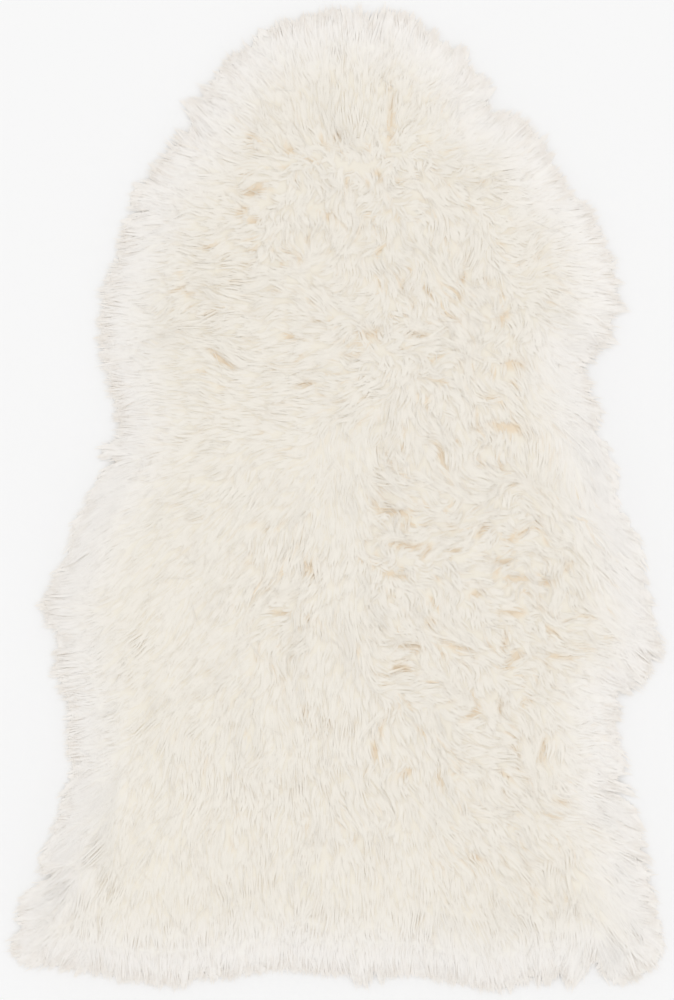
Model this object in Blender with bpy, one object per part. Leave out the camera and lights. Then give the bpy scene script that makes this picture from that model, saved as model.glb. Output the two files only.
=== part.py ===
"""A sheepskin rug: one whole pelt with its wool, lying flat with the wool up.

The hide lies on the floor round the origin, +Z is up and +Y runs from the tail to the neck.
The wool is a lumpy slab on the hide. Round its rim stand two rows of tapered locks, which
are drawn out of the slab's own side: the lower row lies along the floor, and the upper row
falls over it.
"""

import collections
import math

import bmesh
import bpy
import numpy as np
from mathutils import Vector, noise

MM = 0.001

# How far the lock tips reach, read round the pelt against the clock: across is mm right of
# the middle, along is mm from the middle towards the neck.
Reach = collections.namedtuple("Reach", "across along")
TAIL_EDGE = (  # left corner to right corner
    Reach(-296, -418), Reach(-262, -432), Reach(-205, -441), Reach(-148, -447),
    Reach(-102, -441), Reach(-62, -433), Reach(-20, -433), Reach(23, -443),
    Reach(63, -438), Reach(104, -444), Reach(145, -449), Reach(207, -446),
    Reach(232, -434), Reach(257, -445), Reach(291, -433),
)  # fmt: skip
RIGHT_FLANK = (  # tail corner, haunch, waist, shoulder
    Reach(303, -410), Reach(289, -340), Reach(274, -276), Reach(257, -240),
    Reach(256, -185), Reach(284, -168), Reach(296, -137), Reach(289, -98),
    Reach(283, -57), Reach(257, 1), Reach(251, 39), Reach(233, 101),
    Reach(224, 124), Reach(248, 139), Reach(260, 174), Reach(254, 213),
    Reach(232, 276), Reach(206, 302), Reach(190, 330), Reach(168, 350),
)  # fmt: skip
NECK_EDGE = (  # over the crown of the neck, right to left
    Reach(139, 361), Reach(129, 390), Reach(108, 414), Reach(84, 433),
    Reach(54, 443), Reach(27, 438), Reach(10, 447), Reach(-29, 440),
    Reach(-63, 431), Reach(-94, 411), Reach(-119, 388), Reach(-135, 360),
)  # fmt: skip
LEFT_FLANK = (  # shoulder, waist, haunch, tail corner
    Reach(-155, 321), Reach(-189, 278), Reach(-195, 252), Reach(-213, 199),
    Reach(-218, 163), Reach(-214, 126), Reach(-199, 60), Reach(-213, 25),
    Reach(-245, -29), Reach(-266, -97), Reach(-259, -125), Reach(-250, -185),
    Reach(-246, -235), Reach(-254, -283), Reach(-271, -340), Reach(-287, -361),
    Reach(-301, -395),
)  # fmt: skip
PELT_RIM = TAIL_EDGE + RIGHT_FLANK + NECK_EDGE + LEFT_FLANK

# The slab's cross-section, from the top down: how far each line lies inside the tips, and
# how high.
Line = collections.namedtuple("Line", "inset height")
TOP_EDGE = Line(31 * MM, 27 * MM)
WIDEST = Line(23 * MM, 13 * MM)
HIDE_EDGE = Line(36 * MM, 0)
DRAW_IN_STEP = 1.5 * MM  # the rim is drawn in by this much at a time, and evened out

PILE_MIDDLE = 37 * MM  # mean height of the wool away from the rim
CROWN_WIDTH = 60 * MM  # over this width the wool rises from the top edge to that height
TUFT_RISE, TUFT_ACROSS, TUFT_ALONG = 26 * MM, 44 * MM, 66 * MM
TUFT_MEAN = 0.25  # mean share of the rise, which the middle height already holds
SWELL_RISE, SWELL_LENGTH = 7 * MM, 160 * MM

# Cells of the top. Their edges round the rim set the locks' pitch, and the tail's and the
# neck's share of the rim is the same as on the pelt.
CELLS_ACROSS, CELLS_ALONG = 45, 55
RIM_CELLS = 2 * (CELLS_ACROSS + CELLS_ALONG)
EVENING_ROUNDS = 400  # rounds of smoothing that spread the top's cells evenly

# A lock narrows to its waist, which lies WAIST_AT of the way out, and then to a point.
LOCK_SHORTEST, LOCK_LONGEST = 0.7, 1.15  # of the way from the slab to the tips' line
WAIST_AT, WAIST_WIDTH = 0.5, 0.62
LOW_WAIST_TOP, LOW_TIP = 6 * MM, 0.8 * MM
HIGH_WAIST_FLOOR, HIGH_WAIST_TOP, HIGH_TIP = 9 * MM, 16 * MM, 7 * MM
HIGH_LOCK_SHARE = 0.88  # the upper row ends short of the lower one
SWEEP, SWEEP_WAVES = 6 * MM, 19  # how far the tips swing along the rim, and how often

WOOL_COLOUR = (0.84, 0.79, 0.71, 1)
WOOL_ROUGHNESS = 0.95


def smooth_loop(reaches, steps=8):
    """Points of a smooth closed curve through the reaches, in metres."""
    knots = np.array(reaches) * MM
    before, after = np.roll(knots, 1, axis=0), np.roll(knots, -1, axis=0)
    later = np.roll(knots, -2, axis=0)
    spans = []
    for t in np.arange(steps) / steps:
        spans.append(
            0.5
            * (
                2 * knots
                + (after - before) * t
                + (2 * before - 5 * knots + 4 * after - later) * t**2
                + (3 * knots - before - 3 * after + later) * t**3
            )
        )
    return np.stack(spans, axis=1).reshape(-1, 2)


def evenly(loop, count):
    """That many points at even spacing round a closed loop, from its first point."""
    closed = np.vstack([loop, loop[:1]])
    along = np.concatenate([[0], np.cumsum(np.linalg.norm(np.diff(closed, axis=0), axis=1))])
    stops = np.arange(count) / count * along[-1]
    return np.stack([np.interp(stops, along, closed[:, axis]) for axis in (0, 1)], axis=1)


def outward(loop):
    """The unit direction out of a closed loop at each point, for a loop against the clock."""
    ahead = np.roll(loop, -1, axis=0) - np.roll(loop, 1, axis=0)
    ahead /= np.linalg.norm(ahead, axis=1)[:, None]
    return np.stack([ahead[:, 1], -ahead[:, 0]], axis=1)


def drawn_in(loop, inset):
    """The loop moved inwards by inset, in small steps that keep its points apart."""
    steps = math.ceil(inset / DRAW_IN_STEP)
    for _ in range(steps):
        loop = loop - outward(loop) * inset / steps
        loop = (np.roll(loop, 1, axis=0) + 2 * loop + np.roll(loop, -1, axis=0)) / 4
    return loop


def eased(t):
    t = min(max(t, 0), 1)
    return t * t * (3 - 2 * t)


def pile_height(place, from_rim):
    """Height of the wool's top: a soft crown, broad swells, and round tufts with creases
    between them."""
    crown = eased(from_rim / CROWN_WIDTH)
    tufts = abs(noise.noise((place.x / TUFT_ACROSS, place.y / TUFT_ALONG, 0)))
    swells = noise.noise((place.x / SWELL_LENGTH, place.y / SWELL_LENGTH, 5))
    lumps = TUFT_RISE * (tufts - TUFT_MEAN) + SWELL_RISE * swells
    return TOP_EDGE.height + crown * (PILE_MIDDLE - TOP_EDGE.height + lumps)


def rim_number(column, row):
    """A grid vertex's place round the rim, from the tail's left corner against the clock, or
    None inside the grid."""
    if row == 0:
        return column
    if column == CELLS_ACROSS:
        return CELLS_ACROSS + row
    if row == CELLS_ALONG:
        return 2 * CELLS_ACROSS + CELLS_ALONG - column
    if column == 0:
        return RIM_CELLS - row
    return None


def wool_top(bm, number, rim):
    """The wool's top: a grid whose rim lies on the top edge, with its cells spread evenly."""
    bmesh.ops.create_grid(bm, x_segments=CELLS_ACROSS, y_segments=CELLS_ALONG, size=0.5)
    low, high = rim.min(axis=0), rim.max(axis=0)
    inner = []
    for vertex in bm.verts:
        u, v = vertex.co.x + 0.5, vertex.co.y + 0.5
        k = rim_number(round(u * CELLS_ACROSS), round(v * CELLS_ALONG))
        if k is None:
            inner.append(vertex)
            across, along = low + (high - low) * (u, v)
        else:
            vertex[number] = k
            across, along = rim[k]
        vertex.co = (across, along, TOP_EDGE.height)
    for _ in range(EVENING_ROUNDS):
        bmesh.ops.smooth_vert(
            bm, verts=inner, factor=1, use_axis_x=True, use_axis_y=True, use_axis_z=True
        )
    for vertex in inner:
        from_rim = np.linalg.norm(rim - vertex.co.xy, axis=1).min()
        vertex.co.z = pile_height(vertex.co, from_rim)


def wall_row(bm, number, loop, height):
    """Draws the open rim out to the next line of the cross-section, and gives the faces
    between in their order round the rim."""
    edges = [e for e in bm.edges if e.is_boundary]
    made = bmesh.ops.extrude_edge_only(bm, edges=edges)["geom"]
    for vertex in made:
        if isinstance(vertex, bmesh.types.BMVert):
            vertex.co = (*loop[vertex[number]], height)
    faces = [f for f in made if isinstance(f, bmesh.types.BMFace)]
    return sorted(faces, key=lambda face: first_number(face, number))


def first_number(face, number):
    """The lower rim number of a wall face, where the last face runs on from the last number
    to nought."""
    low, high = min(v[number] for v in face.verts), max(v[number] for v in face.verts)
    return low if high - low == 1 else high


def lock_tips(tip_line):
    """The tips' places, one for each rim cell: short or past the tips' line, and swung along
    the rim."""
    turn = (np.arange(RIM_CELLS) + 0.5) / RIM_CELLS
    middle = evenly(tip_line, 2 * RIM_CELLS)[1::2]
    out = outward(middle)
    along = np.stack([-out[:, 1], out[:, 0]], axis=1)
    uneven = 0.5 + 0.3 * np.sin(math.tau * 23 * turn) + 0.2 * np.sin(math.tau * 87 * turn)
    reach = LOCK_SHORTEST + (LOCK_LONGEST - LOCK_SHORTEST) * uneven
    swing = SWEEP * np.sin(math.tau * SWEEP_WAVES * turn)
    return middle + out * (reach - 1)[:, None] * WIDEST.inset + along * swing[:, None]


def draw_lock(bm, face, tip, waist_floor, waist_top, tip_height):
    """Draws a wall face out into a four-sided lock with a waist and a point."""
    middle = face.calc_center_median()
    half_height = max(abs(v.co.z - middle.z) for v in face.verts)
    waist = bmesh.ops.extrude_discrete_faces(bm, faces=[face])["faces"][0]
    centre = middle.xy.lerp(tip, WAIST_AT)
    for vertex in waist.verts:
        share = (1 + (vertex.co.z - middle.z) / half_height) / 2  # 0 at the floor, 1 on top
        aside = (vertex.co - middle).xy * WAIST_WIDTH
        vertex.co = (*(centre + aside), waist_floor + (waist_top - waist_floor) * share)
    point = bmesh.ops.extrude_discrete_faces(bm, faces=[waist])["faces"][0]
    bmesh.ops.pointmerge(bm, verts=list(point.verts), merge_co=(*tip, tip_height))


def low_locks(bm, faces, tips):
    """The lower row: a lock on each face, level on the floor along its whole length."""
    for face, tip in zip(faces, tips):
        draw_lock(bm, face, Vector(tip), 0, LOW_WAIST_TOP, LOW_TIP)


def high_locks(bm, faces, tips):
    """The upper row: a lock on every second face, falling over the lower row."""
    for face, tip in list(zip(faces, tips))[::2]:
        root = face.calc_center_median().xy
        short = root.lerp(Vector(tip), HIGH_LOCK_SHARE)
        draw_lock(bm, face, short, HIGH_WAIST_FLOOR, HIGH_WAIST_TOP, HIGH_TIP)


def wool_material():
    material = bpy.data.materials.new("ivory_wool")
    material.use_nodes = True
    shader = material.node_tree.nodes["Principled BSDF"]
    shader.inputs["Base Color"].default_value = WOOL_COLOUR
    shader.inputs["Roughness"].default_value = WOOL_ROUGHNESS
    shader.inputs["Metallic"].default_value = 0
    return material


def sheepskin():
    tip_line = evenly(smooth_loop(PELT_RIM), RIM_CELLS)
    tips = lock_tips(tip_line)
    bm = bmesh.new()
    number = bm.verts.layers.int.new("rim_number")
    wool_top(bm, number, drawn_in(tip_line, TOP_EDGE.inset))
    upper = wall_row(bm, number, drawn_in(tip_line, WIDEST.inset), WIDEST.height)
    lower = wall_row(bm, number, drawn_in(tip_line, HIDE_EDGE.inset), HIDE_EDGE.height)
    bmesh.ops.edgeloop_fill(bm, edges=[e for e in bm.edges if e.is_boundary])
    low_locks(bm, lower, tips)
    high_locks(bm, upper, tips)
    bmesh.ops.recalc_face_normals(bm, faces=bm.faces)
    mesh = bpy.data.meshes.new("sheepskin")
    bm.to_mesh(mesh)
    bm.free()
    mesh.materials.append(wool_material())
    mesh.shade_smooth()
    return bpy.data.objects.new("sheepskin", mesh)


def main():
    for old in list(bpy.data.objects):
        bpy.data.objects.remove(old)
    rug = bpy.data.collections.new("sheepskin_rug")
    bpy.context.scene.collection.children.link(rug)
    rug.objects.link(sheepskin())


main()
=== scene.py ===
"""The looks of a sheepskin rug: one tanned pelt with long ivory wool, lying wool up.

The wool is some fifty thousand tapered strands, gathered into locks. One chart says which
way the wool is combed over the pelt, and another where it parts and shows its depth. Near
the rim the locks run outwards, past the hide's edge, and fall to the floor. Lengths are in
metres, and the listed tables are in mm.
"""

import collections
import math

import bmesh
import bpy
import numpy as np
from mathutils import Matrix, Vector, kdtree, noise


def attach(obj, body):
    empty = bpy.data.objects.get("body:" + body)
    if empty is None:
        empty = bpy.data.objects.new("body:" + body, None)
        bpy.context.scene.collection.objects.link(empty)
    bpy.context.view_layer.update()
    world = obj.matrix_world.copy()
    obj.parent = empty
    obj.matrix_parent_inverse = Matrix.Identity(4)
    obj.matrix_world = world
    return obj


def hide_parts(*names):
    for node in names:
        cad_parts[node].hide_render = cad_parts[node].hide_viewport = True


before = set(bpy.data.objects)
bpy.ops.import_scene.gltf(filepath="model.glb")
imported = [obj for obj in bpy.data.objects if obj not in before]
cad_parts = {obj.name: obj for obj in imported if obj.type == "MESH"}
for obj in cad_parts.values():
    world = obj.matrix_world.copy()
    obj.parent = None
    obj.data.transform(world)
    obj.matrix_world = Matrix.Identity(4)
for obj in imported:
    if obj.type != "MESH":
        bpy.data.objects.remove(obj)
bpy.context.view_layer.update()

MM = 0.001
TAU = math.tau
SEED = 20
rng = np.random.default_rng(SEED)

# ---------------------------------------------------------------- the pelt's plan

# How far the lock tips reach, tuft by tuft with the notches and slits between them, read round
# the pelt against the clock. A point is across, in mm right of the middle, and along, in mm
# from the middle towards the neck.
TAIL_EDGE = (  # left corner to right corner
    (-303, -405), (-298, -418), (-286, -429), (-275, -429), (-269, -425), (-264, -431),
    (-238, -434), (-213, -437), (-198, -443), (-171, -444), (-145, -449), (-125, -441),
    (-102, -440), (-68, -434), (-33, -432), (-13, -438), (12, -436), (21, -448), (28, -448),
    (33, -432), (41, -443), (58, -437), (86, -440), (108, -446), (133, -451), (159, -451),
    (171, -442), (177, -444), (184, -436), (187, -450), (198, -439), (203, -432), (214, -451),
    (225, -445), (234, -423), (243, -438), (252, -446), (268, -446), (282, -438), (296, -427),
    (304, -409),
)  # fmt: skip
RIGHT_FLANK = (  # tail corner, haunch, waist, shoulder
    (300, -400), (294, -386), (293, -362), (280, -350), (292, -348), (292, -342), (272, -327),
    (290, -335), (289, -327), (278, -322), (287, -319), (280, -311), (285, -307), (278, -296),
    (276, -282), (274, -278), (249, -266), (278, -273), (272, -265), (256, -259), (256, -254),
    (270, -252), (260, -247), (268, -242), (261, -230), (257, -212), (260, -189), (256, -185),
    (259, -176), (270, -182), (271, -167), (280, -176), (291, -162), (287, -139), (297, -153),
    (302, -135), (291, -121), (294, -112), (288, -93), (283, -68), (278, -59), (287, -70),
    (286, -54), (276, -32), (268, -15), (257, -9), (265, -2), (257, 5), (259, 18), (261, 31),
    (250, 32), (254, 51), (246, 57), (238, 56), (241, 76), (246, 78), (241, 90), (230, 93),
    (239, 103), (228, 112), (230, 117), (223, 124), (237, 126), (241, 136), (257, 142), (252, 146),
    (252, 161), (261, 158), (253, 170), (268, 171), (259, 181), (252, 188), (263, 197), (252, 209),
    (256, 216), (247, 229), (246, 239), (236, 250), (239, 261), (227, 273), (211, 284), (212, 289),
    (204, 298), (198, 309), (200, 315), (191, 318), (193, 335), (183, 331), (180, 343), (168, 351),
    (153, 354), (139, 355),
)  # fmt: skip
NECK_EDGE = (  # over the crown of the neck, right to left
    (141, 367), (148, 372), (140, 380), (136, 385), (129, 391), (122, 397), (118, 414), (105, 412),
    (96, 420), (92, 429), (82, 428), (77, 439), (67, 443), (49, 445), (43, 453), (38, 447),
    (31, 434), (27, 444), (19, 453), (12, 443), (9, 450), (-1, 450), (-10, 444), (-28, 443),
    (-33, 438), (-51, 437), (-61, 431), (-72, 430), (-75, 421), (-82, 423), (-79, 413), (-86, 418),
    (-83, 410), (-95, 409), (-101, 402), (-109, 395), (-110, 384), (-118, 378), (-129, 380),
    (-125, 371), (-118, 357),
)  # fmt: skip
LEFT_FLANK = (  # shoulder, waist, haunch, tail corner
    (-128, 365), (-138, 366), (-142, 362), (-138, 355), (-134, 344), (-134, 335), (-143, 337),
    (-152, 335), (-145, 322), (-158, 326), (-152, 311), (-162, 316), (-165, 307), (-171, 306),
    (-169, 291), (-185, 288), (-190, 277), (-192, 270), (-190, 263), (-176, 262), (-190, 260),
    (-196, 252), (-197, 243), (-200, 231), (-203, 221), (-200, 216), (-213, 204), (-210, 193),
    (-220, 189), (-210, 183), (-219, 173), (-213, 168), (-220, 162), (-216, 153), (-221, 146),
    (-212, 136), (-219, 132), (-214, 124), (-215, 120), (-206, 113), (-211, 106), (-207, 99),
    (-210, 93), (-204, 86), (-203, 75), (-197, 68), (-203, 62), (-199, 55), (-205, 50), (-218, 48),
    (-227, 42), (-218, 37), (-207, 35), (-202, 32), (-218, 27), (-221, 18), (-222, 7), (-235, -1),
    (-231, -9), (-242, -20), (-246, -34), (-244, -40), (-250, -52), (-248, -58), (-260, -72),
    (-262, -84), (-270, -94), (-278, -98), (-266, -104), (-265, -112), (-269, -119), (-256, -123),
    (-254, -134), (-262, -141), (-257, -148), (-261, -162), (-252, -163), (-256, -172),
    (-248, -185), (-244, -196), (-253, -202), (-243, -204), (-249, -218), (-247, -230),
    (-243, -247), (-244, -262), (-255, -275), (-255, -290), (-262, -302), (-261, -313),
    (-275, -329), (-273, -334), (-278, -344), (-260, -345), (-285, -357), (-292, -368),
    (-292, -378), (-298, -383), (-289, -391), (-293, -400),
)  # fmt: skip
PELT_RIM = TAIL_EDGE + RIGHT_FLANK + NECK_EDGE + LEFT_FLANK

# How the wool is combed: across, along, heading and curl. The heading is where the lock tips
# point, in degrees clockwise from the neck, and the curl runs from 0, combed straight, to 1,
# in tight hooks.
COMBING = (
    # neck crown
    (8, 419, 0, 0.1), (-33, 410, -12, 0.1), (-70, 387, -35, 0.1), (-102, 359, -52, 0.15),
    (58, 419, 12, 0.1), (95, 401, 28, 0.1), (122, 369, 45, 0.1),
    # neck middle
    (8, 364, -2, 0.3), (-33, 355, -20, 0.3), (-61, 327, -45, 0.35), (44, 355, 10, 0.35),
    (86, 355, 25, 0.3), (113, 327, 55, 0.3), (21, 323, -10, 0.5), (-24, 318, -35, 0.45),
    # left shoulder
    (-129, 327, -62, 0.15), (-157, 295, -72, 0.15), (-97, 309, -68, 0.3), (-125, 277, -80, 0.25),
    (-88, 273, -85, 0.5), (-111, 241, -105, 0.4), (-171, 245, -88, 0.1), (-189, 199, -92, 0.1),
    (-207, 163, -98, 0.1), (-161, 181, -100, 0.3),
    # right shoulder
    (168, 341, 42, 0.1), (204, 305, 52, 0.1), (236, 259, 66, 0.1), (255, 213, 84, 0.1),
    (259, 172, 98, 0.1), (241, 140, 112, 0.1), (150, 282, 78, 0.4), (168, 236, 90, 0.35),
    (195, 254, 78, 0.15), (186, 190, 100, 0.3), (204, 154, 105, 0.2),
    # withers
    (-33, 282, -120, 0.8), (12, 273, 180, 0.8), (58, 282, 120, 0.8), (-33, 236, -170, 0.8),
    (12, 227, 175, 0.8), (58, 236, 170, 0.8), (86, 273, 100, 0.7), (122, 236, 178, 0.35),
    (86, 199, 170, 0.8), (131, 172, 150, 0.7), (154, 154, -160, 0.8), (-125, 190, -95, 0.5),
    # left side
    (-70, 181, -92, 0.4), (-15, 181, -100, 0.6), (31, 163, -110, 0.7), (-107, 126, -70, 0.35),
    (-52, 135, -95, 0.3), (3, 126, -90, 0.5), (-143, 126, -92, 0.2), (-152, 80, -92, 0.15),
    (-198, 117, -92, 0.1), (-189, 71, -92, 0.1), (-88, 90, -90, 0.25), (-33, 99, -90, 0.3),
    (21, 90, -95, 0.4), (-52, 53, -100, 0.25), (-125, 44, -100, 0.2), (-180, 44, -98, 0.1),
    # right side
    (58, 154, 90, 0.7), (67, 90, 170, 0.5), (104, 108, 110, 0.5), (150, 117, 150, 0.7),
    (186, 99, 130, 0.3), (218, 90, 110, 0.1), (236, 62, 125, 0.1), (241, 108, 95, 0.1),
    (95, 44, 150, 0.5), (150, 62, 160, 0.6), (186, 35, -165, 0.3), (214, 26, 165, 0.2),
    (250, 26, 135, 0.1),
    # backbone
    (8, 44, 180, 0.1), (8, -20, 180, 0.15), (3, -93, -178, 0.2), (12, -166, -175, 0.25),
    (8, -240, -178, 0.25), (-33, -295, -172, 0.25),
    # left flank
    (-33, 16, -150, 0.2), (-79, -2, -140, 0.2), (-143, 7, -120, 0.15), (-207, 7, -118, 0.05),
    (-235, -38, -122, 0.05), (-180, -57, -130, 0.1), (-125, -66, -140, 0.15),
    (-70, -57, -150, 0.35), (-33, -75, -140, 0.5), (-52, -112, -130, 0.5), (-107, -130, -140, 0.2),
    (-253, -93, -100, 0.05), (-253, -130, -97, 0.05), (-239, -176, -102, 0.05),
    (-198, -130, -125, 0.1), (-161, -185, -140, 0.15), (-207, -203, -120, 0.1),
    (-239, -230, -97, 0.05),
    # right flank
    (58, 16, 120, 0.7), (58, -29, 95, 1), (76, -57, 90, 1), (104, -38, 100, 0.8),
    (131, -20, 80, 0.8), (168, -11, 75, 0.8), (200, -29, 120, 0.8), (218, -66, 165, 0.6),
    (241, -57, 150, 0.3), (140, -66, 110, 1), (159, -102, 80, 1), (159, -139, 130, 1),
    (186, -93, 140, 0.8), (95, -84, 130, 0.7), (58, -93, 150, 0.6), (113, -130, 135, 0.7),
    (76, -139, 110, 0.7), (58, -157, 90, 0.8), (204, -130, 95, 0.5), (232, -139, 98, 0.4),
    (131, -176, 150, 0.8), (177, -166, 140, 0.7), (259, -38, 140, 0.05), (278, -75, 128, 0.05),
    (287, -112, 118, 0.05), (278, -148, 128, 0.05), (255, -176, 120, 0.1),
    # right haunch
    (40, -203, 170, 0.5), (58, -240, 165, 0.7), (86, -203, 140, 0.5), (122, -203, 110, 0.5),
    (150, -230, 95, 0.5), (186, -230, 165, 0.5), (204, -194, 100, 0.4), (232, -221, 95, 0.2),
    (259, -221, 118, 0.05), (246, -258, 110, 0.1), (150, -267, 120, 0.5), (195, -276, 140, 0.5),
    (278, -285, 122, 0.05), (241, -295, 125, 0.15), (131, -322, 140, 0.35), (76, -304, 165, 0.3),
    (195, -331, 140, 0.4), (241, -340, 130, 0.1), (287, -331, 122, 0.05), (291, -386, 112, 0.05),
    # left haunch
    (-125, -221, -160, 0.25), (-70, -203, -165, 0.25), (-33, -212, -175, 0.3),
    (-171, -258, -165, 0.2), (-189, -313, -160, 0.15), (-97, -276, -172, 0.3),
    (-235, -276, -110, 0.05), (-253, -331, -122, 0.05), (-280, -372, -108, 0.05),
    (-294, -409, -112, 0.05), (-225, -368, -165, 0.05),
    # tail
    (-262, -418, -150, 0.05), (-198, -413, 178, 0.05), (-125, -349, 178, 0.15),
    (-125, -413, -176, 0.05), (-43, -368, 180, 0.15), (-43, -418, 180, 0.05),
    (40, -368, 178, 0.15), (40, -423, 178, 0.05), (113, -423, 172, 0.05), (186, -423, 170, 0.05),
    (214, -395, -175, 0.1), (223, -427, -160, 0.1), (250, -395, 150, 0.05), (278, -423, 150, 0.05),
    (168, -368, 150, 0.3), (86, -368, 172, 0.2), (204, -368, 150, 0.3),
)  # fmt: skip

# Where the wool parts and shows its depth: across and along of the parting's middle, its
# length and width in mm, and the way it runs, in degrees clockwise from the neck.
PARTINGS = (
    (49, 341, 46, 7, 0), (-75, 277, 20, 9, 60), (-79, 323, 14, 5, 0), (-86, 259, 15, 7, 30),
    (-43, 314, 13, 5, 45), (-1, 326, 15, 5, 30), (-105, 126, 33, 5, 125), (-29, 103, 18, 5, 90),
    (31, 149, 18, 7, 90), (72, 148, 20, 5, 90), (-43, 146, 13, 6, 120), (150, 163, 16, 7, 30),
    (161, 121, 22, 9, 90), (154, 64, 38, 8, 95), (113, 197, 13, 5, 30), (-6, 254, 11, 7, 90),
    (-75, 250, 13, 5, 90), (-143, 188, 13, 5, 60), (58, -13, 29, 6, 95), (63, -43, 33, 7, 95),
    (54, -70, 24, 6, 95), (81, -49, 15, 6, 45), (131, -29, 16, 7, 45), (163, -34, 29, 6, 60),
    (150, -57, 20, 6, 90), (163, -72, 24, 6, 90), (209, -61, 12, 8, 60), (191, -77, 13, 5, 90),
    (127, -86, 15, 6, 60), (159, -104, 24, 7, 90), (152, -130, 22, 5, 10), (161, -145, 20, 6, 60),
    (108, -134, 31, 5, 110), (67, -134, 24, 6, 90), (58, -153, 16, 6, 70), (122, -196, 24, 6, 50),
    (148, -189, 13, 6, 10), (172, -185, 12, 6, 60), (186, -230, 26, 6, 10), (86, -112, 11, 7, 45),
    (-24, -68, 14, 5, 90), (-52, -104, 22, 4, 100), (-24, -109, 15, 4, 100), (63, -249, 15, 6, 50),
    (-29, -194, 10, 5, 30), (204, -144, 22, 6, 100), (131, -327, 20, 5, 110),
    (204, -276, 16, 6, 90),
)  # fmt: skip


def evenly(loop, count):
    """That many points at even spacing round a closed loop."""
    closed = np.vstack([loop, loop[:1]])
    along = np.concatenate([[0], np.cumsum(np.linalg.norm(np.diff(closed, axis=0), axis=1))])
    stops = np.arange(count) / count * along[-1]
    return np.stack([np.interp(stops, along, closed[:, axis]) for axis in (0, 1)], axis=1)


def softened(loop, rounds):
    """The loop with its points drawn towards their neighbours, so many times."""
    for _ in range(rounds):
        loop = (np.roll(loop, 1, axis=0) + 2 * loop + np.roll(loop, -1, axis=0)) / 4
    return loop


def outward(loop):
    """The unit direction out of a closed loop at each point, for a loop against the clock."""
    ahead = np.roll(loop, -1, axis=0) - np.roll(loop, 1, axis=0)
    ahead /= np.linalg.norm(ahead, axis=1)[:, None]
    return np.stack([ahead[:, 1], -ahead[:, 0]], axis=1)


def directions(degrees):
    """Unit vectors for headings in degrees clockwise from the neck."""
    turn = np.radians(degrees)
    return np.stack([np.sin(turn), np.cos(turn)], axis=-1)


TIP_POINTS, PELT_POINTS = 4000, 1100
TUFT_SOFTENING = 24  # the rounds that even the tufts out
TIP_LINE = evenly(np.array(PELT_RIM) * MM, TIP_POINTS)
PELT_LINE = evenly(softened(evenly(TIP_LINE, PELT_POINTS), TUFT_SOFTENING), PELT_POINTS)

# ---------------------------------------------------------------- charts over the floor

# A chart holds a value, or a vector, for each point of an even grid over the floor.
CHART_STEP = 2 * MM
CHART_LOW = np.array([-335 * MM, -480 * MM])
CHART_SIZE = (336, 481)
PLACES = CHART_LOW + CHART_STEP * np.stack(
    np.meshgrid(*[np.arange(n) for n in CHART_SIZE], indexing="ij"), axis=-1
)


def read(chart, places):
    """A chart's values at places between its points."""
    last = np.array(CHART_SIZE) - 1.001  # just short of the last point
    spot = np.clip((places - CHART_LOW) / CHART_STEP, 0, last)
    cell = spot.astype(int)
    (i, j), (u, v) = np.moveaxis(cell, -1, 0), np.moveaxis(spot - cell, -1, 0)
    if chart.ndim == 3:
        u, v = u[..., None], v[..., None]
    low = (1 - u) * chart[i, j] + u * chart[i + 1, j]
    high = (1 - u) * chart[i, j + 1] + u * chart[i + 1, j + 1]
    return (1 - v) * low + v * high


def inside_chart(loop):
    """How far each place lies inside a closed line; less than nothing outside it."""
    near = kdtree.KDTree(len(loop))
    for number, place in enumerate(loop):
        near.insert((*place, 0), number)
    near.balance()
    ahead = np.roll(loop, -1, axis=0)
    rows = []
    for row in PLACES:
        reach = np.array([near.find((*place, 0))[2] for place in row])
        x = row[0, 0]
        crossing = (loop[:, 0] <= x) != (ahead[:, 0] <= x)
        a, b = loop[crossing], ahead[crossing]
        along = a[:, 1] + (x - a[:, 0]) / (b[:, 0] - a[:, 0]) * (b[:, 1] - a[:, 1])
        crossed = (along[:, None] > row[:, 1]).sum(axis=0)
        rows.append(np.where(crossed % 2, reach, -reach))
    return np.stack(rows)


def blurred(chart, rounds):
    """The chart with its values drawn towards their neighbours, so many times."""
    for _ in range(rounds):
        for axis in (0, 1):
            chart = (np.roll(chart, 1, axis) + 2 * chart + np.roll(chart, -1, axis)) / 4
    return chart


COMB_BLUR, COMB_FALLOFF = 14 * MM, 2.2  # how far a row of COMBING reaches, how sharply it fades
SWIRL, SWIRL_BLUR = 0.75, 22  # where the wool curls, its way turns by about so many radians


def combing_charts():
    """The way the wool is combed, as vectors that are shorter where ways meet, and its curl.
    Each is a mean of the rows of COMBING, the near ones counting most."""
    across, along, heading, curled = np.array(COMBING).T
    known = np.stack([across, along], axis=1) * MM
    ways, curls = [], []
    for row in PLACES:
        gap2 = ((row[:, None] - known) ** 2).sum(axis=-1)
        weight = (gap2 + COMB_BLUR**2) ** -COMB_FALLOFF
        weight /= weight.sum(axis=-1, keepdims=True)
        ways.append(weight @ directions(heading))
        curls.append(weight @ curled)
    way, curl = np.stack(ways), np.stack(curls)
    swirl = blurred(rng.normal(0, 1, CHART_SIZE), SWIRL_BLUR)
    turn = SWIRL * curl * swirl / swirl.std()
    across, along = np.moveaxis(way, -1, 0)
    across, along = (
        across * np.cos(turn) + along * np.sin(turn),
        along * np.cos(turn) - across * np.sin(turn),
    )
    return np.stack([across, along], axis=-1), curl


def parting_chart(partings):
    """1 in the middle of each parting, falling to nothing at about its edge."""
    most = np.zeros(CHART_SIZE)
    for across, along, length, width, heading in partings:
        line = directions(heading)
        gap = PLACES - np.array([across, along]) * MM
        lengthwise = gap @ line / (length * MM / 2)
        crosswise = gap @ np.array([line[1], -line[0]]) / (width * MM / 2)
        most = np.maximum(most, np.exp(-(lengthwise**4) - crosswise**2))
    return most


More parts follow.
